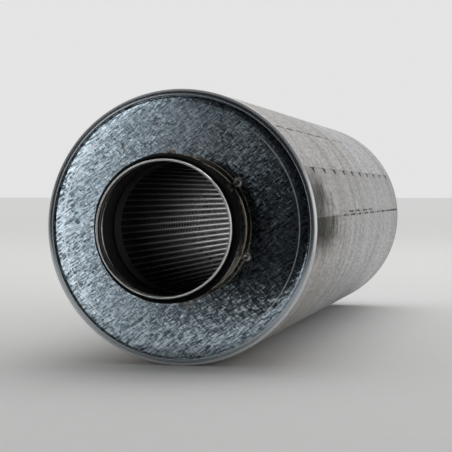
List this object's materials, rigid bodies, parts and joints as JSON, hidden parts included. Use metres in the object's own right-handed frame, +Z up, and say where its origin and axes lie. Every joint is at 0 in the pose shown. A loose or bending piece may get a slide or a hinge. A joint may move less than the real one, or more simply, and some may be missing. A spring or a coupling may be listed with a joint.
{
  "type": "duct sound attenuator",
  "caption": "Round duct silencer: galvanised casing with end caps, gasketed duct spigots and a perforated liner packed round with mineral wool.",
  "frame": {"origin": "the middle of the casing, on the duct's axis", "axes": "+Y runs along the duct from the front end to the rear end, +Z is up and +X is to the right seen from the front"},
  "size_m": [0.2, 0.696, 0.2],
  "materials": {
    "casing_steel": "smooth galvanised sheet with fine spangle",
    "cap_steel": "galvanised sheet with coarse bright spangle",
    "spigot_steel": "smooth galvanised sheet",
    "rivet_steel": "bare blind rivet",
    "liner_steel": "galvanised perforated sheet",
    "gasket_rubber": "matt black rubber",
    "tissue": "black glass tissue",
    "wool": "yellow-brown mineral wool"
  },
  "bodies": {
    "root": {"casing": "casing_steel", "front_end_cap": "cap_steel", "rear_end_cap": "cap_steel", "front_spigot": "spigot_steel", "rear_spigot": "spigot_steel", "front_gasket": "gasket_rubber", "rear_gasket": "gasket_rubber", "front_rivets": "rivet_steel", "rear_rivets": "rivet_steel", "perforated_liner": "liner_steel", "glass_tissue": "tissue", "mineral_wool": "wool"}
  },
  "joints": []
}
